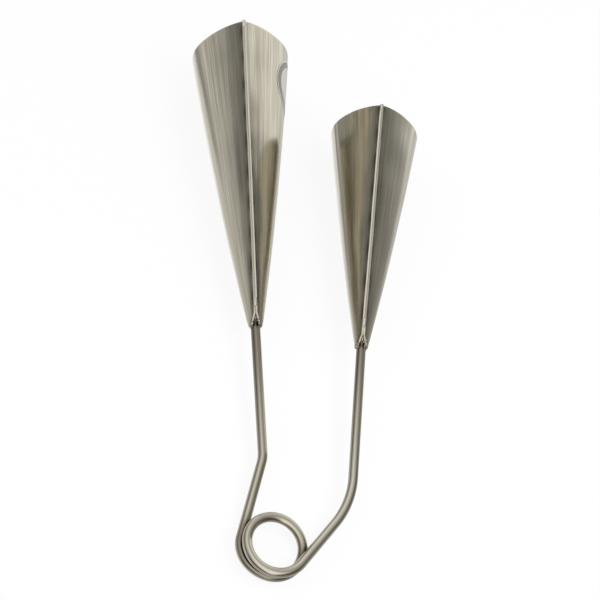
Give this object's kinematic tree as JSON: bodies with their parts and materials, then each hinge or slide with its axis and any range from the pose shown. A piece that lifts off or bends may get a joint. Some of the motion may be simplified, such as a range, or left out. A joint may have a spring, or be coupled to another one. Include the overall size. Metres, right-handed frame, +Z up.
{
  "type": "agogo bell",
  "caption": "Two folded sheet-steel cone bells of different pitch on one bent steel rod, whose single loop is the handle and the spring that lets them be squeezed together.",
  "frame": {"origin": "on the table, under the middle of the box round the tool as it lies on its loop and its two mouths", "axes": "+Z up from the table, +Y towards the bell mouths, +X from the large bell to the small one"},
  "size_m": [0.156, 0.383, 0.0808],
  "materials": {
    "rod": "polished nickel-plated round steel rod",
    "sheet": "brushed nickel-plated sheet steel, streaks run from the throat to the mouth",
    "weld": "small plated weld beads",
    "braze": "plated braze fillet with two drops",
    "label": "blank oval foil label with a plain dark border"
  },
  "bodies": {
    "large_bell_side": {"spring_loop": "rod", "large_bell_arm": "rod", "large_bell_shell": "sheet", "large_bell_seam_weld": "weld", "large_bell_socket_braze": "braze", "blank_label": "label"},
    "small_bell_side": {"small_bell_arm": "rod", "small_bell_shell": "sheet", "small_bell_seam_weld": "weld", "small_bell_socket_braze": "braze"}
  },
  "joints": [
    {"name": "squeeze", "type": "hinge", "parent": "large_bell_side", "child": "small_bell_side", "pos_m": [-0.02051, -0.17007, 0.00856], "axis": [0.0939, -0.0737, 0.9928], "range_deg": [0, 6], "stiffness_Nm_per_rad": 70, "deforming": ["spring_loop"]}
  ]
}
